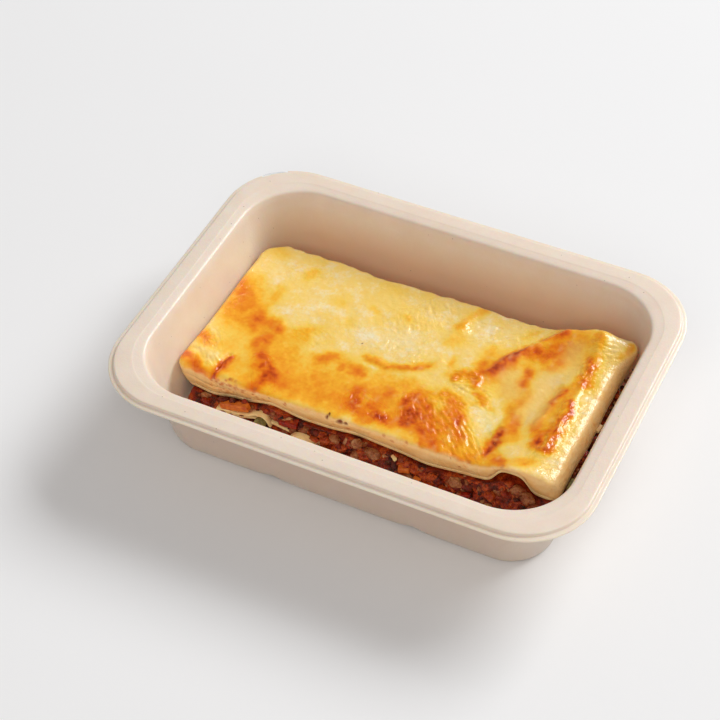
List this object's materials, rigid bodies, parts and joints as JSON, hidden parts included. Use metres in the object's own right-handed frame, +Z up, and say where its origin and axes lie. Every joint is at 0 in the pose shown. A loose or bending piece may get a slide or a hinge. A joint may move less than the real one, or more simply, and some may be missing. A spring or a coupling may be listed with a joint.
{
  "type": "lasagne ready meal in moulded fibre tray",
  "caption": "Cut portion of baked lasagne with a browned white sauce top over meat sauce and pasta sheets, in a rectangular moulded fibre ready meal tray with a stepped rim.",
  "frame": {"origin": "middle of the tray's underside, on the surface that it stands on", "axes": "+X along the tray's long side, +Y to the side away from the food's cut front, +Z up"},
  "size_m": [0.187, 0.137, 0.0388],
  "materials": {
    "moulded_fibre": "matt pressed plant fibre with faint specks",
    "baked_white_sauce": "oily baked surface, cream yellow with orange brown patches",
    "pasta": "moist cooked pasta",
    "meat_sauce": "wet minced meat in tomato sauce",
    "carrot": "moist cooked carrot",
    "tomato": "moist cooked tomato",
    "green_olive": "moist dull green"
  },
  "bodies": {
    "root": {"tray": "moulded_fibre", "white_sauce_top": "baked_white_sauce", "pasta_sheet_top": "pasta", "meat_sauce_upper": "meat_sauce", "pasta_sheet_middle": "pasta", "meat_sauce_lower": "meat_sauce", "carrot_piece": "carrot", "carrot_dice": "carrot", "tomato_piece": "tomato", "olive_piece": "green_olive", "olive_slice": "green_olive", "pasta_fold": "pasta"}
  },
  "joints": []
}
